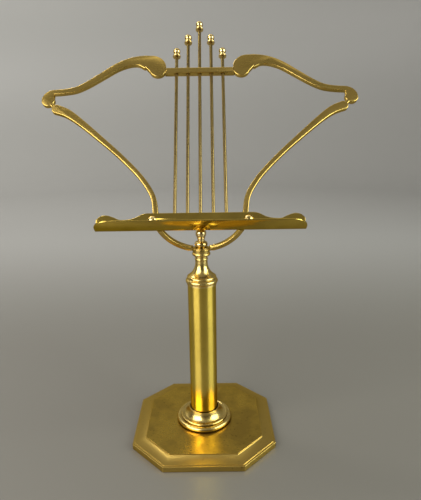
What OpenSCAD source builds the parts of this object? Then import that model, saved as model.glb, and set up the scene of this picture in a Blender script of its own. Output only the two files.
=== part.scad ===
// Tabletop music stand: a lyre-shaped book rest on a turned column and a moulded base.
// A rod up the middle of the column, drawn tight by a finial nut, holds the pile together.
// Z is up. The column stands on the Z axis and the ledge faces -Y.

/* [Base] */
// Width across the flats of the base, at the table
base_flat = 146; // [110:1:180]
// Width across the clipped corners, at the table
base_clip = 158.6; // [120:1:200]
// Height of the base
base_h = 9.5; // [7:0.5:20]
// Height of the upright lip round the foot
lip_h = 5.7; // [3:0.1:10]
// Width of the flat step above the lip
step_w = 1.6; // [0.5:0.1:4]
// How far the hollow moulding comes in from the step to the top
cove_w = 11.1; // [4:0.1:20]
// Thickness of the rim left round the hollow underside
rim_w = 17; // [8:0.5:30]
// Depth of the hollow underside
hollow_h = 5.8; // [2:0.1:8]

/* [Column] */
// Outside diameter of the tube
tube_d = 28.6; // [16:0.1:40]
// Wall of the tube
tube_wall = 1.2; // [0.8:0.1:3]
// Height of the collar at the foot of the tube
collar_h = 14.8; // [8:0.1:30]
// Widest diameter of that collar
collar_d = 58.6; // [40:0.1:90]
// Height above the table where the capital sits on the tube
tube_top = 164; // [100:1:260]
// Height of the capital above the tube
capital_h = 34; // [24:0.5:60]
// Diameter of the tie rod
rod_d = 5; // [4:0.1:8]

/* [Lyre] */
// Thickness of the lyre casting
lyre_t = 5; // [3:0.1:8]
// How far the rack leans back from upright
lean = 33.6; // [15:0.1:50]
// How far the yoke under it leans forward
yoke_lean = 23; // [0:0.5:40]
// Outside radius of the bowl of the lyre
bowl_r = 46.6; // [35:0.1:60]
// Height of the bowl's centre above the bend
bowl_up = 20.3; // [10:0.1:30]
// Width of the bowl's strip at the sides
strip_w = 5.3; // [4:0.1:10]
// Distance of the knob at each tip from the middle
knob_x = 161.2; // [120:0.1:200]
// Height of the crossbar up the rack
bar_u = 186; // [150:1:230]
// Thickness of the square crossbar
bar_t = 6.4; // [4:0.1:10]

/* [Strings] */
// Diameter of the rods that stand for strings
string_d = 3.4; // [2:0.1:6]
// Distance from one rod to the next
string_gap = 12.6; // [8:0.1:20]
// Length of the middle rod above the crossbar's centre
string_top = 56.5; // [20:0.5:90]
// How much shorter each rod is than its inner neighbour
string_drop = 18.5; // [0:0.5:30]

/* [Ledge] */
// Length of the ledge
ledge_w = 202; // [140:1:260]
// Depth of the shelf
shelf_d = 21; // [15:0.5:50]
// How far past square the shelf is bent up, in degrees
shelf_tip = 6; // [0:0.5:15]
// Thickness of the sheet
sheet_t = 1.5; // [1:0.1:3]
// Height of the flange between the screws
flange_h = 18.5; // [12:0.5:40]
// Radius of the shelf's front corners
corner_r = 15; // [2:0.5:25]
// Distance of each screw from the middle
screw_x = 46.6; // [30:0.1:60]

/* [Hidden] */
$fn = 96;
flat_r = base_flat / 2;
clip_r = base_clip / 2;
tube_r = tube_d / 2;
bore_r = tube_r - tube_wall;
rod_r = rod_d / 2;
string_r = string_d / 2;
hub_z = tube_top + capital_h;
hub_h = 3.15;
hub_r = 8.8;
seat_z = hub_z + 0.05 + hub_h;
washer_t = 0.8;
nut_z = seat_z + washer_t + 0.1;
bend_y = -8.75;
bend_z = hub_z + 22.5;
mitre = (lean - yoke_lean) / 2;
bulb = [45.3, 188.2];
bulb_r = 9;
knob = [knob_x, 150.4];
knob_r = 6.9;
rail_u = 13;
rail_h = 6;
bend_r = 2;
screw_u = 11.5;
mid = lyre_t / 2;

// A smooth curve through a short list of points
function knot(p, i) = p[min(max(i, 0), len(p) - 1)];
function glide(a, b, c, d, t) = 0.5 * (2 * b + (c - a) * t + (2 * a - 5 * b + 4 * c - d) * t * t
    + (3 * b - a - 3 * c + d) * t * t * t);
function smooth(p, n = 5) = [
    for (i = [0 : len(p) - 2], k = [0 : n - 1])
        glide(knot(p, i - 1), knot(p, i), knot(p, i + 1), knot(p, i + 2), k / n),
    knot(p, len(p))];
function along(s, i) = let (a = knot(s, i - 1), b = knot(s, i + 1), d = [b[0] - a[0], b[1] - a[1]])
    d / norm(d);
function edge(s, w) = [for (i = [0 : len(s) - 1]) let (u = along(s, i))
    [s[i][0] - w * u[1] * s[i][2] / 2, s[i][1] + w * u[0] * s[i][2] / 2]];
function turned(p) = [for (i = [len(p) - 1 : -1 : 0]) p[i]];

// A bar that follows stations of [across, up, width]
module ribbon(stations, n = 5) {
    s = smooth(stations, n);
    polygon(concat(edge(s, 1), turned(edge(s, -1))));
}

// Leans its children with the rack: Z runs up the rack, Y runs out of its back
module on_rack() {
    translate([0, bend_y, bend_z]) rotate([-lean, 0, 0]) children();
}

// Leans its children with the yoke under the rack
module on_yoke() {
    translate([0, bend_y, bend_z]) rotate([yoke_lean, 0, 0]) children();
}

// A flat outline stood up on edge, t thick, with its front at y
module plate(t, y = 0) {
    translate([0, y + t, 0]) rotate([90, 0, 0]) linear_extrude(t) children();
}

module both_sides() {
    children();
    mirror([1, 0, 0]) children();
}

module tube(r, bore, z0, z1) {
    translate([0, 0, z0]) difference() {
        cylinder(h = z1 - z0, r = r);
        translate([0, 0, -1]) cylinder(h = z1 - z0 + 2, r = bore);
    }
}

// Half of a turned outline spun about the column
module spin() {
    rotate_extrude() children();
}

// ---- base

module octagon(flat, clip) {
    intersection() {
        square(flat, center = true);
        rotate(45) square(clip, center = true);
    }
}

// The waste cut away above the lip along one side, r from the middle
module moulding_cut(r) {
    run = 40;
    a = [for (i = [0 : 9]) 90 * i / 9];
    top = base_h - 0.7;
    cove = [for (t = a) [r - step_w - cove_w * cos(t), lip_h + (top - lip_h) * (1 - sin(t))]];
    translate([0, 60, 0]) rotate([90, 0, 0]) linear_extrude(120)
        polygon(concat([[r + run, lip_h], [r + run, base_h + 5],
            [r - step_w - cove_w, base_h + 5]], cove, [[r - step_w, lip_h]]));
}

module base_plinth() {
    color("goldenrod") difference() {
        linear_extrude(base_h) octagon(base_flat, base_clip);
        for (a = [0 : 90 : 270]) {
            rotate(a) moulding_cut(flat_r);
            rotate(a + 45) moulding_cut(clip_r);
        }
        translate([0, 0, -1]) linear_extrude(hollow_h + 1)
            octagon(base_flat - 2 * rim_w, base_clip - 2 * rim_w);
        cylinder(h = 3 * base_h, r = rod_r + 0.3, center = true);
    }
}

module base_collar() {
    z0 = base_h;
    z1 = base_h + collar_h;
    rim = collar_d / 2;
    color("goldenrod") spin() difference() {
        union() {
            translate([tube_r, z0]) square([rim - 2.6 - tube_r, 5.2]);
            translate([rim - 2.6, z0 + 2.6]) circle(2.6);
            translate([tube_r, z0]) square([9.6, 7]);
            translate([tube_r + 9.6, z0 + 6.2]) circle(1.1);
            difference() {
                translate([tube_r, z0 + 5]) square([10.4, collar_h - 5]);
                translate([tube_r + 13.1, z1 + 1.2]) circle(11.2);
            }
            translate([tube_r + 1.1, z1 - 1]) circle(1);
        }
        square([tube_r + 0.1, 200]);
        translate([tube_r + 0.1, z1 + 1.3]) circle(2.0);
    }
}

// ---- column

module column_tube() {
    color("gold") tube(tube_r, bore_r, base_h, tube_top);
}

module capital() {
    z = tube_top;
    top = hub_z;
    color("gold") spin() difference() {
        union() {
            translate([0, z - 12]) square([bore_r - 0.1, 13]);
            translate([0, z]) square([tube_r + 0.6, 6.5]);
            translate([tube_r - 0.4, z + 3.8]) circle(2.3);
            translate([0, z + 6]) square([tube_r, 2]);
            translate([tube_r - 1.2, z + 7.6]) circle(1.6);
            difference() {
                translate([0, z + 7]) square([tube_r - 1.2, 17]);
                translate([6.1 + 16.5, z + 23]) circle(16.5);
            }
            translate([0, z + 23]) square([6.1, top - z - 23]);
            translate([5.3, z + 26.2]) circle(1.3);
            translate([7.2, top - 2.5]) circle(1.9);
            translate([0, top - 4.4]) square([7.2, 3.8]);
            translate([0, top - 1]) square([8.3, 1]);
        }
        translate([-50, 0]) square([50 + rod_r + 0.25, 400]);
    }
}

module tie_rod() {
    color("goldenrod") difference() {
        translate([0, 0, 0.7]) cylinder(h = nut_z + 11.4 - 0.7, r = rod_r);
        translate([0, 0, nut_z + 11.4]) rotate_extrude() translate([rod_r + 0.4, 0]) circle(1);
    }
}

module base_washer() {
    color("gold") tube(7, rod_r + 0.2, hollow_h - 1, hollow_h);
}

module base_nut() {
    color("gold") difference() {
        intersection() {
            translate([0, 0, hollow_h - 5]) cylinder(h = 4, r = 8 / sqrt(3), $fn = 6);
            translate([0, 0, hollow_h - 10.6]) cylinder(h = 9.6, r1 = 0.1, r2 = 9.7);
        }
        cylinder(h = 3 * base_h, r = rod_r, center = true);
    }
}

// ---- lyre

module bowl() {
    difference() {
        translate([0, bowl_up]) circle(bowl_r);
        translate([0, bowl_up - 0.6]) circle(bowl_r - strip_w + 0.2);
        translate([-80, bowl_up]) square([160, 80]);
    }
}

module lower_arm() {
    leg = bowl_r - strip_w / 2;
    ribbon([[leg, bowl_up - 0.4, 5.4], [46.1, 34.6, 5.2], [52.4, 48, 5.1], [63.4, 63.3, 5],
        [83.3, 84.7, 5.2], [104.2, 104.6, 6], [125.7, 124.1, 7.4], [139.5, 134.6, 9],
        [151.6, 139.8, 10]]);
    translate([151.6, 139.8]) circle(5);
    ribbon([[153, 141, 4.4], [156.3, 144.4, 3.2], [159, 148, 4.4]]);
}

module upper_arm() {
    ribbon([[158, 160.6, 5.6], [144, 161.7, 5.6], [132, 164.3, 6], [120, 170.9, 6.7],
        [105, 181.7, 7.4], [90, 192.5, 8.3], [77, 198.4, 9.8], [66, 200.1, 12.2],
        [57, 198, 17]]);
}

// The drop at the tip, where the arm curls over and down
module knob_drop() {
    translate(knob) circle(knob_r);
    intersection() {
        translate([knob[0] - 5.9, knob[1] + 0.2]) circle(12.8);
        translate([knob[0] - 5.9, knob[1] + 0.2]) square(20);
    }
}

// The rounded head that the crossbar meets
module bulb_head() {
    translate(bulb) circle(bulb_r);
    intersection() {
        translate([bulb[0] + 7, bulb[1] + 2.4]) circle(15.9);
        translate([bulb[0] - bulb_r, bulb[1]]) square([18, 20]);
    }
    translate(bulb) polygon([[0, 0], [8.2, -3.6], [11.1, 0.2], [14.7, 4.2], [20.7, 5.9],
        [20.7, 18.1], [13.5, 18.6], [7, 18.2]]);
}

module rack_outline() {
    difference() {
        union() {
            bowl();
            both_sides() {
                lower_arm();
                upper_arm();
                knob_drop();
                bulb_head();
                translate([screw_x, screw_u]) circle(5.4);
            }
        }
        both_sides() translate([screw_x, screw_u]) circle(1.5);
    }
}

// A block that keeps what is above the mitre at the bend, or below it
module mitre_block(up) {
    translate([0, bend_y, bend_z]) rotate([-mitre, 0, 0])
        translate([-250, -100, up ? 0 : -400]) cube([500, 400, 400]);
}

module lyre_frame() {
    color("darkgoldenrod") difference() {
        union() {
            intersection() {
                on_rack() plate(lyre_t) rack_outline();
                mitre_block(true);
            }
            difference() {
                intersection() {
                    on_yoke() plate(lyre_t) bowl();
                    mitre_block(false);
                    translate([-100, -50, hub_z + 0.05]) cube([200, 100, 60]);
                }
                translate([0, 0, seat_z]) cylinder(h = 40, r = hub_r);
            }
            translate([0, 0, hub_z + 0.05]) cylinder(h = hub_h, r = hub_r);
        }
        cylinder(h = 3 * hub_z, r = rod_r + 0.3, center = true);
    }
}

module string_holes(r) {
    for (i = [-2 : 2]) translate([i * string_gap, mid, 0])
        cylinder(h = 900, r = r, center = true);
}

module crossbar() {
    color("darkgoldenrod") on_rack() difference() {
        translate([-42, mid - bar_t / 2, bar_u - bar_t / 2]) cube([84, bar_t, bar_t]);
        both_sides() plate(30, -15) translate(bulb) circle(bulb_r);
        string_holes(string_r);
    }
}

module lower_rail() {
    color("darkgoldenrod") on_rack() difference() {
        intersection() {
            translate([-60, 0, rail_u - rail_h / 2]) cube([120, lyre_t, rail_h]);
            plate(lyre_t) translate([0, bowl_up - 0.6]) circle(bowl_r - strip_w + 0.2);
        }
        string_holes(string_r);
    }
}

// ---- strings

function string_end(i) = bar_u + string_top - string_drop * abs(i);

module string_rod(i) {
    z0 = rail_u - rail_h / 2;
    color("gold") on_rack() translate([i * string_gap, mid, z0])
        cylinder(h = string_end(i) + 5 - z0, r = string_r);
}

module string_finial(i) {
    color("gold") on_rack() translate([i * string_gap, mid, string_end(i)])
        rotate_extrude() difference() {
            union() {
                square([3.6, 1.9]);
                translate([3.4, 0.95]) circle(0.95);
                square([2.5, 6]);
                translate([0, 2.9]) square([3, 0.9]);
                intersection() {
                    translate([0, 7.7]) circle(3.9);
                    translate([0, 3]) square([6, 12]);
                }
            }
            translate([-10, -1]) square([10 + string_r, 6]);
            translate([-10, -1]) square([10, 20]);
        }
}

module string_rod_1() { string_rod(-2); }
module string_rod_2() { string_rod(-1); }
module string_rod_3() { string_rod(0); }
module string_rod_4() { string_rod(1); }
module string_rod_5() { string_rod(2); }
module string_finial_1() { string_finial(-2); }
module string_finial_2() { string_finial(-1); }
module string_finial_3() { string_finial(0); }
module string_finial_4() { string_finial(1); }
module string_finial_5() { string_finial(2); }

// ---- ledge

// The flange's shape: level between the screws, with an ear at each end
module flange_outline() {
    low = 12.2;
    ear = 16.8;
    ear_end = ear - 4.6;
    end = ledge_w / 2;
    deep = -9;
    crest = smooth([[52, flange_h], [57, flange_h - 1.2], [63, flange_h - 4.4], [70, low],
        [78, low - 0.2], [84, ear - 2.2], [91, ear], [97, ear - 0.9], [end, ear_end]], 6);
    half = concat(crest, [[end + 5, ear_end], [end + 5, deep]]);
    polygon(concat(half, [for (p = turned(half)) [-p[0], p[1]]]));
}

// The shelf's shape seen square on, carried on behind the bend
module shelf_outline() {
    w = ledge_w / 2;
    behind = 20;
    steps = 16;
    corner = [for (i = [0 : steps]) let (a = 90 * i / steps)
        [w + corner_r * (cos(a) - 1), shelf_d + corner_r * (sin(a) - 1)]];
    half = concat([[w, -behind]], corner);
    polygon(concat(half, [for (p = turned(half)) [-p[0], p[1]]]));
}

// The bent sheet's section, with waste left on both of its ends
module ledge_section() {
    waste = 4;
    steps = 16;
    reach = shelf_d - bend_r + waste;
    run = [-reach * cos(shelf_tip), reach * sin(shelf_tip)];
    a = [for (i = [0 : steps]) -(90 + shelf_tip) * i / steps];
    outer = [for (t = a) [bend_r * (cos(t) - 1), bend_r * (1 + sin(t))]];
    inside_r = bend_r - sheet_t;
    inner = [for (t = a) [inside_r * cos(t) - bend_r, bend_r + inside_r * sin(t)]];
    polygon(concat([[0, flange_h + waste]], outer, [outer[steps] + run, inner[steps] + run],
        turned(inner), [[-sheet_t, flange_h + waste]]));
}

module ledge() {
    long = ledge_w + 8;
    color("gold") on_rack() difference() {
        intersection() {
            translate([-long / 2, 0, 0]) rotate([90, 0, 90]) linear_extrude(long)
                ledge_section();
            plate(90, -60) flange_outline();
            translate([0, -bend_r, bend_r]) rotate([-shelf_tip, 0, 0])
                translate([0, bend_r, -bend_r - 3]) mirror([0, 1, 0])
                    linear_extrude(50) shelf_outline();
        }
        both_sides() plate(20, -10) translate([screw_x, screw_u]) circle(1.8);
    }
}

module ledge_screw(side) {
    head_r = 4.3;
    color("gold") on_rack() translate([side * screw_x, -sheet_t, screw_u]) rotate([90, 0, 0])
        difference() {
            union() {
                intersection() {
                    translate([0, 0, 2.6 - 5.1]) sphere(5.1);
                    cylinder(h = 5, r = head_r);
                }
                translate([0, 0, -sheet_t - lyre_t + 0.4]) cylinder(h = 7, r = 1.5);
            }
            rotate(side * 20) translate([-10, -0.45, 1.3]) cube([20, 0.9, 5]);
        }
}

module ledge_screw_left() { ledge_screw(-1); }
module ledge_screw_right() { ledge_screw(1); }

// ---- clamp

module clamp_washer() {
    color("gold") tube(7.8, rod_r + 0.3, seat_z + 0.05, seat_z + 0.05 + washer_t);
}

module clamp_finial() {
    z = nut_z;
    color("gold") spin() difference() {
        union() {
            square([5.1, 2]);
            translate([0, z]) square([5.1, 3]);
            translate([3.6, z + 3.3]) circle(2.9);
            translate([0, z]) square([3.6, 6.2]);
            translate([0, z + 5]) square([3.5, 8]);
            translate([3.1, z + 9.6]) circle(1);
            translate([0, z + 14]) circle(5.3);
        }
        translate([-20, 0]) square([20, 400]);
        square([20, z]);
        translate([0, z - 1]) square([rod_r + 0.06, 13.2]);
    }
}

base_plinth();
base_collar();
column_tube();
capital();
tie_rod();
base_washer();
base_nut();
lyre_frame();
crossbar();
lower_rail();
string_rod_1();
string_rod_2();
string_rod_3();
string_rod_4();
string_rod_5();
string_finial_1();
string_finial_2();
string_finial_3();
string_finial_4();
string_finial_5();
ledge();
ledge_screw_left();
ledge_screw_right();
clamp_washer();
clamp_finial();
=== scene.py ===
import math

import bmesh
import bpy
from mathutils import Matrix, Vector


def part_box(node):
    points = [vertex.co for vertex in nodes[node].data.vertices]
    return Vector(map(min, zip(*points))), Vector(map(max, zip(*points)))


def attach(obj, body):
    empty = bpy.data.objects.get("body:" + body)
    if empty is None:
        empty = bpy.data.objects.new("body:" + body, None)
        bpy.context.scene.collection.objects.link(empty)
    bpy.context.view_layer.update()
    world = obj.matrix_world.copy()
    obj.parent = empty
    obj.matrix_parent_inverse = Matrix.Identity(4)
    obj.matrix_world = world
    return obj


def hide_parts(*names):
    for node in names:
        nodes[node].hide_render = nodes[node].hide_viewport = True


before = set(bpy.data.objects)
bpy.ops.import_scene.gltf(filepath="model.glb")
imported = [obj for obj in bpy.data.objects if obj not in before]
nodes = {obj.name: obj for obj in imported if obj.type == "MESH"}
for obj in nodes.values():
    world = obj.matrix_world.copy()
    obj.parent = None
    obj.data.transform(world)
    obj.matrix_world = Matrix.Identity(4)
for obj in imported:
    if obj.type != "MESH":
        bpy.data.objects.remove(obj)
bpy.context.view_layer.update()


# ---------------------------------------------------------------- the room
# The stand is looked at from a little above, by someone at the table in front of it. A
# pale round cove is floor and backdrop in one, grey at the table and lighter behind. Soft
# boxes are two windows and a ceiling, and a fourth lights mostly the backdrop.

MM = 0.001
scene = bpy.context.scene
scene.view_settings.view_transform = "Standard"

eye = bpy.data.objects.new("viewer", bpy.data.cameras.new("viewer"))
eye.data.lens = 33.12
eye.data.clip_start = 0.01
eye_place = Matrix.Translation((9.9 * MM, -438.8 * MM, 319.9 * MM))
eye_turn = Matrix.Rotation(math.radians(0.09), 4, "Z")
eye_tilt = Matrix.Rotation(math.radians(90 - 15.41), 4, "X")
eye_roll = Matrix.Rotation(math.radians(-0.8), 4, "Z")
eye.matrix_world = eye_place @ eye_turn @ eye_tilt @ eye_roll
scene.collection.objects.link(eye)
scene.camera = eye

middle = Vector((0, 0, 0.2))


def beside(azimuth, elevation, distance):
    """A place round the stand's middle. Azimuth 0 is in front, 90 to the right."""
    a = math.radians(azimuth)
    e = math.radians(elevation)
    aim = Vector((math.sin(a) * math.cos(e), -math.cos(a) * math.cos(e), math.sin(e)))
    return middle + aim * distance


def soft_box(name, place, facing, width, height, radiance, colour):
    """A rectangular light that faces a point. Its radiance doesn't depend on its size."""
    lamp = bpy.data.lights.new(name, "AREA")
    lamp.shape = "RECTANGLE"
    lamp.size = width
    lamp.size_y = height
    lamp.energy = radiance * math.pi * width * height
    lamp.color = colour
    box = bpy.data.objects.new(name, lamp)
    box.location = place
    box.rotation_euler = (place - facing).to_track_quat("Z", "Y").to_euler()
    box.visible_camera = False
    scene.collection.objects.link(box)


wash_place = Vector((-1.3, 0.8, 2.1))
backdrop_middle = Vector((-0.7, 2.6, 0.8))
soft_box("window_left", beside(-47, 24, 1.5), middle, 1.3, 1.2, 5.4, (1.0, 0.97, 0.93))
soft_box("window_right", beside(70, 24, 1.5), middle, 1.2, 1.2, 5.0, (0.93, 1.0, 0.95))
soft_box("ceiling", beside(180, 72, 1.7), middle, 1.6, 0.9, 0.8, (1.0, 0.99, 0.97))
soft_box("backdrop_wash", wash_place, backdrop_middle, 1.4, 0.9, 9.0, (1.0, 0.98, 0.96))

world = bpy.data.worlds.new("room_light")
world.use_nodes = True
world.node_tree.nodes["Background"].inputs["Color"].default_value = (0.22, 0.212, 0.197, 1)
scene.world = world


def add(tree, kind, inputs=None, **settings):
    """One shader or geometry node. An input may be a value or another node's output."""
    node = tree.nodes.new(kind)
    for name, value in settings.items():
        setattr(node, name, value)
    for socket, value in (inputs or {}).items():
        if isinstance(value, bpy.types.NodeSocket):
            tree.links.new(value, node.inputs[socket])
        else:
            node.inputs[socket].default_value = value
    return node


def mixed(tree, factor, first, second):
    """A mix of two colours, from the first at 0 to the second at 1."""
    mix = add(tree, "ShaderNodeMix", {0: factor, 6: first, 7: second}, data_type="RGBA")
    return mix.outputs[2]


def new_finish(name):
    """A new material, with its node tree and its shader."""
    finish = bpy.data.materials.new(name)
    finish.use_nodes = True
    return finish, finish.node_tree, finish.node_tree.nodes["Principled BSDF"]


def baked(bm, name):
    """Makes a mesh of a bmesh, with its faces turned outwards."""
    bmesh.ops.recalc_face_normals(bm, faces=bm.faces)
    mesh = bpy.data.meshes.new(name)
    bm.to_mesh(mesh)
    bm.free()
    return mesh


def new_piece(name, mesh, *finishes):
    """Puts a finished mesh in the scene under its own name."""
    piece = bpy.data.objects.new(name, mesh)
    for finish in finishes:
        mesh.materials.append(finish)
    scene.collection.objects.link(piece)
    return piece


cove_floor = 1.9
cove_bend = 0.9
cove_height = 1.9
bend_steps = 12
cove_line = [(0.0, 0.0), (cove_floor, 0.0)]
for k in range(1, bend_steps + 1):
    a = math.radians(90 * k / bend_steps)
    cove_line.append((cove_floor + cove_bend * math.sin(a), cove_bend * (1 - math.cos(a))))
cove_line.append((cove_floor + cove_bend, cove_height))
cove = bmesh.new()
chain = [cove.verts.new((r, 0, z)) for r, z in cove_line]
for a, b in zip(chain, chain[1:]):
    cove.edges.new((a, b))
bmesh.ops.spin(cove, geom=cove.verts[:] + cove.edges[:], cent=(0, 0, 0), axis=(0, 0, 1),
               angle=math.tau, steps=96, use_merge=True)
bmesh.ops.remove_doubles(cove, verts=cove.verts, dist=0.01 * MM)
cove_mesh = baked(cove, "cove")
cove_mesh.shade_smooth()

grey = (0.165, 0.155, 0.132, 1)
pale = (0.37, 0.365, 0.345, 1)
paper, paper_tree, paper_shader = new_finish("pale_backdrop_paper")
paper_place = add(paper_tree, "ShaderNodeTexCoord")
paper_axes = add(paper_tree, "ShaderNodeSeparateXYZ", {0: paper_place.outputs["Object"]})
paper_grade = add(paper_tree, "ShaderNodeMapRange",
                  {"Value": paper_axes.outputs["Y"], "From Min": 0.15, "From Max": 0.9},
                  interpolation_type="SMOOTHSTEP")
paper_tint = mixed(paper_tree, paper_grade.outputs["Result"], grey, pale)
paper_tree.links.new(paper_tint, paper_shader.inputs["Base Color"])
paper_shader.inputs["Roughness"].default_value = 0.5
paper_shader.inputs["Coat Weight"].default_value = 1.0
paper_shader.inputs["Coat Roughness"].default_value = 0.3
new_piece("cove", cove_mesh, paper)


# ---------------------------------------------------------------- plinth
# The foot is one brass casting: a square with clipped corners, a hollow moulding round
# the edge and a hollow underside. Its top is polished by hand, its sides are left matt
# from the mould, and its arrises are rubbed soft and carry a painted highlight. Shade
# is painted into its corners.


def group_tree(name, inputs, outputs):
    """An empty shader node group with named sockets."""
    tree = bpy.data.node_groups.new(name, "ShaderNodeTree")
    for label, kind, value in inputs:
        tree.interface.new_socket(label, in_out="INPUT", socket_type=kind).default_value = value
    for label, kind in outputs:
        tree.interface.new_socket(label, in_out="OUTPUT", socket_type=kind)
    return tree, tree.nodes.new("NodeGroupInput"), tree.nodes.new("NodeGroupOutput")


def tarnish_group():
    """Cloudy patches where lacquer has gone, with small dark specks in them."""
    tree, given, made = group_tree(
        "tarnish",
        [("Patches", "NodeSocketFloat", 30.0), ("Specks", "NodeSocketFloat", 500.0)],
        [("Cloud", "NodeSocketFloat"), ("Pits", "NodeSocketFloat")])
    place = add(tree, "ShaderNodeTexCoord").outputs["Object"]
    cloud = add(tree, "ShaderNodeTexNoise", {"Vector": place, "Scale": given.outputs["Patches"],
                                            "Detail": 6.0, "Roughness": 0.62})
    spread = add(tree, "ShaderNodeMapRange", {"Value": cloud.outputs["Fac"], "From Min": 0.36,
                                             "From Max": 0.66}, interpolation_type="SMOOTHSTEP")
    speck = add(tree, "ShaderNodeTexNoise", {"Vector": place, "Scale": given.outputs["Specks"],
                                            "Detail": 2.0})
    pit = add(tree, "ShaderNodeMapRange", {"Value": speck.outputs["Fac"], "From Min": 0.66,
                                          "From Max": 0.74})
    pits = add(tree, "ShaderNodeMath", {0: pit.outputs["Result"], 1: spread.outputs["Result"]},
               operation="MULTIPLY")
    tree.links.new(spread.outputs["Result"], made.inputs["Cloud"])
    tree.links.new(pits.outputs[0], made.inputs["Pits"])
    return tree


def polish_group():
    """Fine marks of the cloth and the file: stretched noise, as a height and a haze."""
    tree, given, made = group_tree(
        "polishing_marks",
        [("Stretch", "NodeSocketVector", (900, 900, 900)), ("Turn", "NodeSocketVector", (0, 0, 0)),
         ("Waves", "NodeSocketFloat", 60.0)],
        [("Height", "NodeSocketFloat"), ("Haze", "NodeSocketFloat")])
    place = add(tree, "ShaderNodeTexCoord").outputs["Object"]
    turned = add(tree, "ShaderNodeMapping", {"Vector": place, "Rotation": given.outputs["Turn"]})
    drawn = add(tree, "ShaderNodeMapping", {"Vector": turned.outputs[0],
                                           "Scale": given.outputs["Stretch"]})
    marks = add(tree, "ShaderNodeTexNoise", {"Vector": drawn.outputs[0], "Scale": 1.0,
                                            "Detail": 3.0, "Roughness": 0.7})
    waves = add(tree, "ShaderNodeTexNoise", {"Vector": place, "Scale": given.outputs["Waves"],
                                            "Detail": 1.0})
    faint = add(tree, "ShaderNodeMath", {0: marks.outputs["Fac"], 1: 0.02}, operation="MULTIPLY")
    both = add(tree, "ShaderNodeMath", {0: waves.outputs["Fac"], 1: faint.outputs[0]},
               operation="ADD")
    haze = add(tree, "ShaderNodeMapRange", {"Value": marks.outputs["Fac"], "From Min": 0.3,
                                           "From Max": 0.7})
    tree.links.new(both.outputs[0], made.inputs["Height"])
    tree.links.new(haze.outputs["Result"], made.inputs["Haze"])
    return tree


def highlight_and_shade_group():
    """A painted highlight on the arrises, which hands also rub bare, and painted shade in the
    corners, which ambient occlusion finds.
    """
    tree, given, made = group_tree(
        "arris_wear_highlight_corner_shade",
        [("Reach", "NodeSocketFloat", 0.8 * MM), ("Corner", "NodeSocketFloat", 3 * MM)],
        [("Rubbed Highlight", "NodeSocketFloat"), ("Corner Shade", "NodeSocketFloat")])
    # The bevel's rounded normals find the arrises, which get a painted highlight as well as wear.
    rounded = add(tree, "ShaderNodeBevel", {"Radius": given.outputs["Reach"]}, samples=4)
    facing = add(tree, "ShaderNodeNewGeometry").outputs["Normal"]
    along = add(tree, "ShaderNodeVectorMath", {0: rounded.outputs[0], 1: facing},
                operation="DOT_PRODUCT")
    edge = add(tree, "ShaderNodeMapRange", {"Value": along.outputs["Value"], "From Min": 0.995,
                                           "From Max": 0.9})
    # Ambient occlusion finds the corners, where shade is painted in as a dark colour.
    open_air = add(tree, "ShaderNodeAmbientOcclusion", {"Distance": given.outputs["Corner"]},
                   samples=4)
    corner = add(tree, "ShaderNodeMapRange", {"Value": open_air.outputs["AO"], "From Min": 0.75,
                                             "From Max": 0.25})
    bared_and_highlit = add(tree, "ShaderNodeMath", {0: edge.outputs["Result"], 1: corner.outputs["Result"]},
               operation="SUBTRACT", use_clamp=True)
    tree.links.new(bared_and_highlit.outputs[0], made.inputs["Rubbed Highlight"])
    tree.links.new(corner.outputs["Result"], made.inputs["Corner Shade"])
    return tree


tarnish = tarnish_group()
polishing = polish_group()
highlight_and_shade = highlight_and_shade_group()


def use_group(tree, group, **values):
    """A shader node group, placed in a material with its own values."""
    node = add(tree, "ShaderNodeGroup", node_tree=group)
    for label, value in values.items():
        node.inputs[label].default_value = value
    return node


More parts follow.
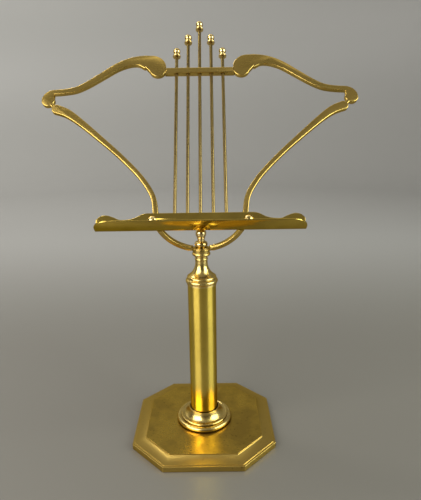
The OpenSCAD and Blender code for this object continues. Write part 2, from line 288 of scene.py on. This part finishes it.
def brass(name, bright, aged, patches, smooth, rough, stretch, turn=(0, 0, 0), waves=60.0,
          ripple=0.02, reach=0.8 * MM, shade_and_pits_strength=0.6, matt_below=None):
    """Brass: a painted highlight on its rubbed arrises, aged in patches, painted shade in its
    corners.
    Below a height it may be left as the sand mould made it, only wire-brushed."""
    made, tree, shader = new_finish(name)
    age = use_group(tree, tarnish, Patches=patches)
    marks = use_group(tree, polishing, Stretch=stretch, Turn=turn, Waves=waves)
    highlight_and_shade_node = use_group(tree, highlight_and_shade, Reach=reach)
    # The arris colour is brighter than clean brass: a painted highlight, as well as rubbed wear.
    rubbed_highlight = (*[min(1.0, 1.2 * c + 0.03) for c in bright], 1)
    # This dark colour is painted shade for the corners, and it also darkens the tarnish pits.
    shade_and_pit_colour = (*[0.22 * c for c in aged], 1)
    shade_and_pits = add(tree, "ShaderNodeMath", {0: highlight_and_shade_node.outputs["Corner Shade"], 1: age.outputs["Pits"]},
               operation="MAXIMUM")
    shade_and_pits_weight = add(tree, "ShaderNodeMath", {0: shade_and_pits.outputs[0], 1: shade_and_pits_strength}, operation="MULTIPLY")

    def worn_highlit_and_shaded(skin):
        """The skin with a painted highlight on its rubbed arrises, painted shade in its corners,
        and its tarnish pits darkened.
        """
        bared_and_highlit = mixed(tree, highlight_and_shade_node.outputs["Rubbed Highlight"], skin, rubbed_highlight)
        return mixed(tree, shade_and_pits_weight.outputs[0], bared_and_highlit, shade_and_pit_colour)

    colour = worn_highlit_and_shaded(mixed(tree, age.outputs["Cloud"], (*bright, 1), (*aged, 1)))
    cloudy = add(tree, "ShaderNodeMath", {0: age.outputs["Cloud"], 1: marks.outputs["Haze"]},
                 operation="ADD")
    gloss = add(tree, "ShaderNodeMapRange", {"Value": cloudy.outputs[0], "From Max": 2.0,
                                            "To Min": smooth, "To Max": rough}).outputs[0]
    if matt_below is not None:
        matt_rough = 0.40
        rubbed_rough = 0.25
        fade = 0.4 * MM
        brushed = (*[0.42 * a + 0.42 * b + 0.02 for a, b in zip(bright, aged)], 1)
        place = add(tree, "ShaderNodeTexCoord")
        height = add(tree, "ShaderNodeSeparateXYZ", {0: place.outputs["Object"]})
        low = add(tree, "ShaderNodeMapRange",
                  {"Value": height.outputs["Z"], "From Min": matt_below,
                   "From Max": matt_below - fade}).outputs["Result"]
        colour = worn_highlit_and_shaded(mixed(tree, low, colour, brushed))
        matt = add(tree, "ShaderNodeMix", {0: low, 2: gloss, 3: matt_rough})
        worn = add(tree, "ShaderNodeMix", {0: highlight_and_shade_node.outputs["Rubbed Highlight"], 2: matt.outputs[0],
                                          3: rubbed_rough})
        gloss = worn.outputs[0]
    tree.links.new(colour, shader.inputs["Base Color"])
    tree.links.new(gloss, shader.inputs["Roughness"])
    bump = add(tree, "ShaderNodeBump", {"Height": marks.outputs["Height"], "Strength": ripple,
                                       "Distance": 10 * MM})
    tree.links.new(bump.outputs[0], shader.inputs["Normal"])
    shader.inputs["Metallic"].default_value = 1.0
    shader.inputs["Specular Tint"].default_value = (0.60, 0.48, 0.26, 1)
    return made


plinth_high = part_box("base_plinth")[1]
polished_top = 0.5 * MM
cast_base = brass("hand_polished_cast_brass", (0.68, 0.46, 0.088), (0.43, 0.29, 0.065),
                  patches=35.0, smooth=0.24, rough=0.38, stretch=(500, 900, 500), waves=45.0,
                  ripple=0.012, reach=1.0 * MM, shade_and_pits_strength=0.8,
                  matt_below=plinth_high.z - polished_top)


def shell(rings):
    """A closed skin through rings of points that have the same count, back to the first."""
    bm = bmesh.new()
    loops = [[bm.verts.new(p) for p in ring] for ring in rings]
    for lower, upper in zip(loops, loops[1:] + loops[:1]):
        for k in range(len(lower)):
            n = (k + 1) % len(lower)
            bm.faces.new((lower[k], lower[n], upper[n], upper[k]))
    return baked(bm, "shell")


def ease(piece, width):
    """Rounds the arrises of a piece as a smooth file and a cloth do, and bakes it in."""
    bevel = piece.modifiers.new("eased", "BEVEL")
    bevel.width = width
    bevel.segments = 3
    bevel.limit_method = "ANGLE"
    bevel.angle_limit = math.radians(32)
    bevel.use_clamp_overlap = False
    bevel.harden_normals = True
    seen = piece.evaluated_get(bpy.context.evaluated_depsgraph_get())
    mesh = bpy.data.meshes.new_from_object(seen)
    piece.modifiers.clear()
    piece.data = mesh
    mesh.name = piece.name


half_flat = plinth_high.x
half_clip = max(v.co.x + v.co.y for v in nodes["base_plinth"].data.vertices) / math.sqrt(2)
lip_height = 5.7 * MM
step_width = 2.2 * MM
step_riser = 0.7 * MM
hollow_width = 11.1 * MM
hollow_steps = 24
top_riser = 0.7 * MM
rim_width = 17 * MM
underside_height = 5.8 * MM
rod_hole = 2.8 * MM
plinth_arris = 0.3 * MM


def plan(inset, z):
    """The corners of the clipped square, with every side moved in by inset."""
    flat = half_flat - inset
    clip = math.sqrt(2) * (half_clip - inset) - flat
    corners = [(clip, -flat), (flat, -clip), (flat, clip), (clip, flat),
               (-clip, flat), (-flat, clip), (-flat, -clip), (-clip, -flat)]
    return [(x, y, z) for x, y in corners]


def hole(z):
    """The rod's hole, with a point towards each corner of the plan."""
    return [Vector((x, y, 0)).normalized() * rod_hole + Vector((0, 0, z))
            for x, y, _ in plan(0, 0)]


hollow_foot = lip_height + step_riser
hollow_drop = plinth_high.z - top_riser - hollow_foot
plinth_rings = [hole(plinth_high.z), plan(step_width + hollow_width, plinth_high.z)]
for k in range(hollow_steps + 1):
    a = math.radians(90 * k / hollow_steps)
    plinth_rings.append(plan(step_width + hollow_width * math.cos(a),
                             hollow_foot + hollow_drop * (1 - math.sin(a))))
plinth_rings += [plan(step_width, lip_height), plan(0, lip_height), plan(0, 0), plan(rim_width, 0),
                 plan(rim_width, underside_height), hole(underside_height)]
plinth = new_piece("plinth_casting", shell(plinth_rings), cast_base)
plinth.data.shade_smooth()
ease(plinth, plinth_arris)
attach(plinth, "stand")
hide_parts("base_plinth")


# ---------------------------------------------------------------- collar
# The collar hides the joint of the tube and the plinth. It is turned from a casting: a
# bell, a step with a thin ring, and a half-round rim. Its mouth is a loose fit on the tube.

SPINDLE = 1 * MM
WELD = 0.002 * MM


def turning_tree():
    """Spins an outline, drawn as radius across and depth down, about the Z axis."""
    tree = bpy.data.node_groups.new("turning", "GeometryNodeTree")
    tree.interface.new_socket("Outline", in_out="INPUT", socket_type="NodeSocketGeometry")
    steps = tree.interface.new_socket("Steps", in_out="INPUT", socket_type="NodeSocketInt")
    steps.default_value = 96
    tree.interface.new_socket("Spindle", in_out="INPUT", socket_type="NodeSocketFloat")
    tree.interface.new_socket("Finish", in_out="INPUT", socket_type="NodeSocketMaterial")
    tree.interface.new_socket("Turned", in_out="OUTPUT", socket_type="NodeSocketGeometry")
    given = tree.nodes.new("NodeGroupInput")
    made = tree.nodes.new("NodeGroupOutput")
    line = add(tree, "GeometryNodeMeshToCurve", {"Mesh": given.outputs["Outline"]})
    circle = add(tree, "GeometryNodeCurvePrimitiveCircle",
                 {"Resolution": given.outputs["Steps"], "Radius": given.outputs["Spindle"]})
    spun = add(tree, "GeometryNodeCurveToMesh",
               {"Curve": circle.outputs["Curve"], "Profile Curve": line.outputs[0]})
    closed = add(tree, "GeometryNodeMergeByDistance",
                 {"Geometry": spun.outputs[0], "Distance": WELD})
    whole = add(tree, "GeometryNodeRealizeInstances", {"Geometry": closed.outputs[0]})
    finished = add(tree, "GeometryNodeSetMaterial",
                   {"Geometry": whole.outputs[0], "Material": given.outputs["Finish"]})
    tree.links.new(finished.outputs[0], made.inputs["Turned"])
    return tree


turning = turning_tree()


def outline_mesh(points, cyclic):
    """The outline of a turned piece, from (radius, height) in millimetres. The spindle's
    radius comes off, because the tree spins the outline round a circle of that size."""
    flat = [(r * MM - SPINDLE, -z * MM, 0) for r, z in points]
    count = len(flat)
    edges = [(k, (k + 1) % count) for k in range(count if cyclic else count - 1)]
    mesh = bpy.data.meshes.new("outline")
    mesh.from_pydata(flat, edges, [])
    return mesh


def grown(name, mesh, tree, **inputs):
    """Runs a geometry tree on a mesh and returns what it made as a plain, closed mesh."""
    seed = bpy.data.objects.new(name, mesh)
    scene.collection.objects.link(seed)
    modifier = seed.modifiers.new(name, "NODES")
    modifier.node_group = tree
    for item in tree.interface.items_tree:
        if item.item_type == "SOCKET" and item.in_out == "INPUT" and item.name in inputs:
            modifier[item.identifier] = inputs[item.name]
    seen = seed.evaluated_get(bpy.context.evaluated_depsgraph_get())
    made = bpy.data.meshes.new_from_object(seen)
    seed.modifiers.clear()
    bpy.data.objects.remove(seed)
    bm = bmesh.new()
    bm.from_mesh(made)
    bmesh.ops.remove_doubles(bm, verts=bm.verts, dist=WELD)
    bmesh.ops.recalc_face_normals(bm, faces=bm.faces)
    bm.to_mesh(made)
    bm.free()
    made.shade_smooth()
    made.set_sharp_from_angle(angle=math.radians(34))
    return made


def turn(name, points, finish, cyclic=True, steps=96):
    """A piece turned on the column's own axis."""
    mesh = grown(name, outline_mesh(points, cyclic), turning, Steps=steps, Spindle=SPINDLE,
                 Finish=finish)
    return new_piece(name, mesh)


def arc(r, z, radius, start, end, steps=12):
    """Points on a circle about (r, z), from one angle to another in degrees."""
    turn_by = math.radians(end - start) / steps
    first = math.radians(start)
    return [(r + radius * math.cos(first + k * turn_by), z + radius * math.sin(first + k * turn_by))
            for k in range(steps + 1)]


turned_brass = brass("lathe_turned_brass", (0.84, 0.63, 0.22), (0.66, 0.47, 0.13), patches=60.0,
                     smooth=0.18, rough=0.32, stretch=(150, 150, 4000), waves=80.0, ripple=0.003,
                     shade_and_pits_strength=0.8)
finial_brass = brass("polished_finial_brass", (0.88, 0.68, 0.30), (0.74, 0.54, 0.18),
                     patches=60.0, smooth=0.08, rough=0.18, stretch=(150, 150, 4000), waves=80.0,
                     ripple=0.002, reach=0.2 * MM, shade_and_pits_strength=0.8)

tube_low, tube_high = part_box("column_tube")
tube = tube_high.x / MM
foot = tube_low.z / MM
collar_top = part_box("base_collar")[1].z / MM
mouth = tube + 0.7
rim = tube + 12.4
rim_round = 2.6
ring_round = 1.1
bell_round = 11.2
lip_round = 0.65
collar_points = [(mouth, foot), (rim, foot)]
collar_points += arc(rim, foot + rim_round, rim_round, -90, 90, 16)
collar_points += arc(tube + 9.6, foot + 6.2, ring_round, -64, 133, 12)
collar_points += arc(tube + 13.1, collar_top + 1.2, bell_round, 233.7, 187.0, 24)
collar_points += arc(tube + 1.35, collar_top - lip_round, lip_round, 10, 170, 8)
collar_points += [(mouth, collar_top - 1.4)]
collar = turn("collar_turning", collar_points, turned_brass, steps=128)
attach(collar, "stand")
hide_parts("base_collar")


# ---------------------------------------------------------------- column tube
# The column is a length of drawn brass tube, buffed along its length to a mirror. The tie
# rod inside it clamps it between the plinth and the capital.

tube_brass = brass("buffed_tube_brass", (0.88, 0.65, 0.125), (0.74, 0.54, 0.095), patches=20.0,
                   smooth=0.13, rough=0.22, stretch=(1500, 1500, 30), waves=35.0, ripple=0.006)
tube_wall = 1.2
bore = tube - tube_wall
tube_top = tube_high.z / MM
tube_points = [(bore, foot), (tube, foot), (tube, tube_top), (bore, tube_top)]
tube_piece = turn("tube_of_the_column", tube_points, tube_brass, steps=128)
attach(tube_piece, "stand")
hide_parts("column_tube")


# ---------------------------------------------------------------- capital
# The capital is a solid turning with a spigot down the tube. It has a ring over the
# tube's edge, a shoulder, a long hollow flare, a bead and a seat for the lyre.

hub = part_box("capital")[1].z / MM
rod_bore = 2.75
spigot = bore - 0.1
spigot_foot = tube_top - 12
ring_edge = tube + 0.6
torus_round = 2.3
shoulder_round = 1.6
neck = 6.1
flare_round = 16.5
bead_round = 1.3
seat_round = 1.9
seat_edge = 8.3
capital_points = [(rod_bore, spigot_foot), (spigot, spigot_foot), (spigot, tube_top),
                  (ring_edge, tube_top), (ring_edge, tube_top + 1.9)]
capital_points += arc(tube - 0.4, tube_top + 3.8, torus_round, -56, 54, 14)
capital_points += [(ring_edge, tube_top + 6.2)]
capital_points += arc(tube - 1.2, tube_top + 7.6, shoulder_round, -40, 80, 10)
capital_points += arc(neck + flare_round, tube_top + 23, flare_round, 234.9, 180, 28)
capital_points += [(neck, tube_top + 25.1)]
capital_points += arc(5.3, tube_top + 26.2, bead_round, -50, 50, 10)
capital_points += [(neck, tube_top + 29.6)]
capital_points += arc(7.2, hub - 2.5, seat_round, -90, 55, 14)
capital_points += [(seat_edge, hub), (rod_bore, hub)]
capital = turn("capital_turning", capital_points, turned_brass, steps=112)
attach(capital, "stand")
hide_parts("capital")


# ---------------------------------------------------------------- tie rod, washer and nut
# A steel rod runs up the column from a nut and a washer under the plinth to the clamp's
# finial. All three have dulled, and they are never seen but from below.

clean_steel = (0.50, 0.49, 0.47, 1)
rusted_steel = (0.24, 0.20, 0.16, 1)
steel, steel_tree, steel_shader = new_finish("dull_mild_steel")
steel_shader.inputs["Metallic"].default_value = 1.0
steel_age = use_group(steel_tree, tarnish, Patches=140.0, Specks=1200.0)
steel_marks = use_group(steel_tree, polishing, Stretch=(3000, 3000, 900), Waves=200.0)
steel_skin = mixed(steel_tree, steel_age.outputs["Cloud"], clean_steel, rusted_steel)
steel_gloss = add(steel_tree, "ShaderNodeMapRange", {"Value": steel_marks.outputs["Haze"],
                                                    "To Min": 0.3, "To Max": 0.5})
steel_bump = add(steel_tree, "ShaderNodeBump", {"Height": steel_marks.outputs["Height"],
                                               "Strength": 0.2, "Distance": 1 * MM})
steel_tree.links.new(steel_skin, steel_shader.inputs["Base Color"])
steel_tree.links.new(steel_gloss.outputs["Result"], steel_shader.inputs["Roughness"])
steel_tree.links.new(steel_bump.outputs[0], steel_shader.inputs["Normal"])
for name in ("tie_rod", "base_washer", "base_nut"):
    nodes[name].material_slots[0].material = steel


# ---------------------------------------------------------------- lyre
# The lyre is one flat brass casting, bent under the ledge where the rack turns into the
# yoke. Its face is lapped flat and satin, and its arrises are rounded over, with a painted
# highlight on them.

lean = math.radians(33.6)
satin_brass = brass("satin_lapped_brass", (0.72, 0.50, 0.13), (0.52, 0.36, 0.09), patches=40.0,
                    smooth=0.18, rough=0.32, stretch=(200, 2200, 2200), turn=(lean, 0, 0),
                    waves=70.0, ripple=0.005)


def casting(name, node, finish, arris, weld=0.1 * MM):
    """A copy of a CAD solid, welded, with eased arrises."""
    bm = bmesh.new()
    bm.from_mesh(nodes[node].data)
    bmesh.ops.remove_doubles(bm, verts=bm.verts, dist=0.001 * MM)
    bmesh.ops.dissolve_limit(bm, angle_limit=math.radians(0.4), verts=bm.verts, edges=bm.edges)
    bmesh.ops.remove_doubles(bm, verts=bm.verts, dist=weld)
    mesh = baked(bm, name)
    mesh.shade_smooth()
    piece = new_piece(name, mesh, finish)
    ease(piece, arris)
    return piece


lyre = casting("lyre_casting", "lyre_frame", satin_brass, arris=0.65 * MM)
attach(lyre, "rack")
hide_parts("lyre_frame")


# ---------------------------------------------------------------- crossbar and lower rail
# A square brass bar joins the lyre's two rounded heads, and a rail behind the ledge holds
# the strings' feet. Both are finished like the lyre.

bar = casting("crossbar_eased", "crossbar", satin_brass, arris=0.8 * MM,
              weld=0.02 * MM)
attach(bar, "rack")
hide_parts("crossbar")

nodes["lower_rail"].material_slots[0].material = satin_brass


# ---------------------------------------------------------------- strings
# Five drawn brass rods stand for the strings, the middle one longest. Each is pushed
# into the lower rail and wears a turned finial, a polished ball on a ring and a collar.

bend_forward = 8.75
bend_rise = 22.5
bend = Vector((0, -bend_forward, hub + bend_rise)) * MM
rack = Matrix.Translation(bend) @ Matrix.Rotation(-lean, 4, "X")
string_gap = 12.6
string_count = 5
string_depth = 2.5
rail_bottom = 10.0
middle_end = 242.5
string_drop = 18.5


def string_row_tree():
    """Sets a turned part on each string: on its end, or stretched along its whole length."""
    tree = bpy.data.node_groups.new("string_row", "GeometryNodeTree")
    sockets = [("Outline", "NodeSocketGeometry"), ("Steps", "NodeSocketInt"),
               ("Spindle", "NodeSocketFloat"), ("Finish", "NodeSocketMaterial"),
               ("Count", "NodeSocketInt"), ("Gap", "NodeSocketFloat"),
               ("Start", "NodeSocketFloat"), ("Middle End", "NodeSocketFloat"),
               ("Drop", "NodeSocketFloat"), ("Depth", "NodeSocketFloat"),
               ("Along", "NodeSocketFloat")]
    for label, kind in sockets:
        tree.interface.new_socket(label, in_out="INPUT", socket_type=kind)
    tree.interface.new_socket("Row", in_out="OUTPUT", socket_type="NodeSocketGeometry")
    given = tree.nodes.new("NodeGroupInput").outputs
    made = tree.nodes.new("NodeGroupOutput")

    def work(operation, a, b=0.0, c=0.0):
        """One step of arithmetic in the tree."""
        return add(tree, "ShaderNodeMath", {0: a, 1: b, 2: c}, operation=operation).outputs[0]

    part = add(tree, "GeometryNodeGroup", node_tree=turning)
    for label in ("Outline", "Steps", "Spindle", "Finish"):
        tree.links.new(given[label], part.inputs[label])
    half = work("DIVIDE", work("SUBTRACT", given["Count"], 1.0), 2.0)
    place = work("SUBTRACT", add(tree, "GeometryNodeInputIndex").outputs[0], half)
    end = work("SUBTRACT", given["Middle End"], work("MULTIPLY", given["Drop"],
                                                    work("ABSOLUTE", place)))
    length = work("SUBTRACT", end, given["Start"])
    foot_z = work("SUBTRACT", end, work("MULTIPLY", length, given["Along"]))
    stretch = work("ADD", work("SUBTRACT", 1.0, given["Along"]),
                   work("MULTIPLY", length, given["Along"]))
    spots = add(tree, "ShaderNodeCombineXYZ", {0: work("MULTIPLY", place, given["Gap"]),
                                              1: given["Depth"], 2: foot_z})
    points = add(tree, "GeometryNodePoints", {"Count": given["Count"],
                                             "Position": spots.outputs[0]})
    scale = add(tree, "ShaderNodeCombineXYZ", {0: 1.0, 1: 1.0, 2: stretch})
    row = add(tree, "GeometryNodeInstanceOnPoints",
              {"Points": points.outputs[0], "Instance": part.outputs[0],
               "Scale": scale.outputs[0]})
    whole = add(tree, "GeometryNodeRealizeInstances", {"Geometry": row.outputs[0]})
    finished = add(tree, "GeometryNodeSetMaterial", {"Geometry": whole.outputs[0],
                                                    "Material": given["Finish"]})
    tree.links.new(finished.outputs[0], made.inputs["Row"])
    return tree


string_row = string_row_tree()


def strings(name, points, finish, along, reach=0.0, steps=48):
    """One turned part on every string, laid back with the rack."""
    mesh = grown(name, outline_mesh(points, False), string_row, Steps=steps, Spindle=SPINDLE,
                 Finish=finish, Count=string_count, Gap=string_gap * MM,
                 Start=rail_bottom * MM, Drop=string_drop * MM, Depth=string_depth * MM,
                 Along=along, **{"Middle End": (middle_end + reach) * MM})
    mesh.transform(rack)
    return new_piece(name, mesh)


string_brass = brass("drawn_rod_brass", (0.36, 0.26, 0.095), (0.27, 0.195, 0.07), patches=24.0,
                     smooth=0.22, rough=0.34, stretch=(400, 400, 8), turn=(lean, 0, 0),
                     waves=20.0, ripple=0.001, reach=0.02 * MM, shade_and_pits_strength=0.1)
string_radius = 1.7
tenon = 4.9
one_metre = 1 / MM
rod_points = [(0, 0), (string_radius, 0), (string_radius, one_metre), (0, one_metre)]
rods = strings("string_rods", rod_points, string_brass, along=1.0, reach=tenon, steps=32)
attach(rods, "rack")
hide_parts(*[f"string_rod_{k + 1}" for k in range(string_count)])

socket_depth = 5
foot_ring = 3.4
foot_round = 0.95
collar_round = 0.45
ball_round = 3.9
finial_points = [(0, socket_depth), (string_radius, socket_depth), (string_radius, 0),
                 (foot_ring, 0)]
finial_points += arc(foot_ring, foot_round, foot_round, -90, 90, 10)
finial_points += [(2.5, 2 * foot_round)]
finial_points += arc(2.6, 3.35, collar_round, -90, 90, 8)
finial_points += arc(0, 7.7, ball_round, -50, 90, 24)
finials = strings("string_finials", finial_points, finial_brass, along=0.0)
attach(finials, "rack")
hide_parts(*[f"string_finial_{k + 1}" for k in range(string_count)])


# ---------------------------------------------------------------- ledge
# The ledge is bent from brass sheet: a shelf that tips up towards the reader, and a low
# shaped flange that two screws hold to the lyre. The shelf is buffed to a mirror.

ledge_brass = brass("buffed_sheet_brass", (0.70, 0.50, 0.10), (0.54, 0.38, 0.08), patches=25.0,
                    smooth=0.08, rough=0.17, stretch=(60, 1500, 1500), turn=(lean, 0, 0),
                    waves=22.0, ripple=0.006)
ledge = casting("ledge_sheet", "ledge", ledge_brass, arris=0.45 * MM, weld=0.02 * MM)
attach(ledge, "rack")
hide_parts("ledge")


# ---------------------------------------------------------------- ledge screws
# Two round-headed slotted brass screws go through the ledge's flange into lugs on the
# lyre. Their heads are turned and polished, and the slots are sawn.

for side in ("left", "right"):
    screw = casting(f"ledge_screw_{side}_filed", f"ledge_screw_{side}", finial_brass,
                    arris=0.12 * MM, weld=0.005 * MM)
    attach(screw, "rack")
    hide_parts(f"ledge_screw_{side}")


# ---------------------------------------------------------------- clamp
# A brass washer and a turned finial nut on the tie rod draw the lyre down on the
# capital. Loosened by a turn or two, they let the rack swing round.

washer_low, washer_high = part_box("clamp_washer")
washer_foot = washer_low.z / MM
washer_top = washer_high.z / MM
washer_bore = 2.8
washer_radius = 7.6
washer_points = [(washer_bore, washer_foot), (washer_radius, washer_foot)]
washer_points += arc(washer_radius, (washer_foot + washer_top) / 2, 0.38, -70, 70, 6)
washer_points += [(washer_radius, washer_top), (washer_bore, washer_top)]
washer = turn("clamp_washer_turned", washer_points, turned_brass, steps=64)
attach(washer, "clamp_washer")
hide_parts("clamp_washer")

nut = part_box("clamp_finial")[0].z / MM
nut_bore = 2.56
nut_depth = 12.2
nut_foot = 5.1
bulb_round = 2.9
stem = 3.5
nut_bead = 1.0
knob_round = 5.3
nut_points = [(0, nut + nut_depth), (nut_bore, nut + nut_depth), (nut_bore, nut),
              (nut_foot, nut), (nut_foot, nut + 0.7)]
nut_points += arc(3.6, nut + 3.3, bulb_round, -56, 88, 18)
nut_points += [(stem, nut + 6.3), (stem, nut + 8.6)]
nut_points += arc(3.1, nut + 9.6, nut_bead, -65, 65, 10)
nut_points += arc(0, nut + 14, knob_round, -44, 90, 30)
finial = turn("clamp_finial_turned", nut_points, finial_brass, cyclic=False, steps=72)
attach(finial, "clamp_finial")
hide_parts("clamp_finial")
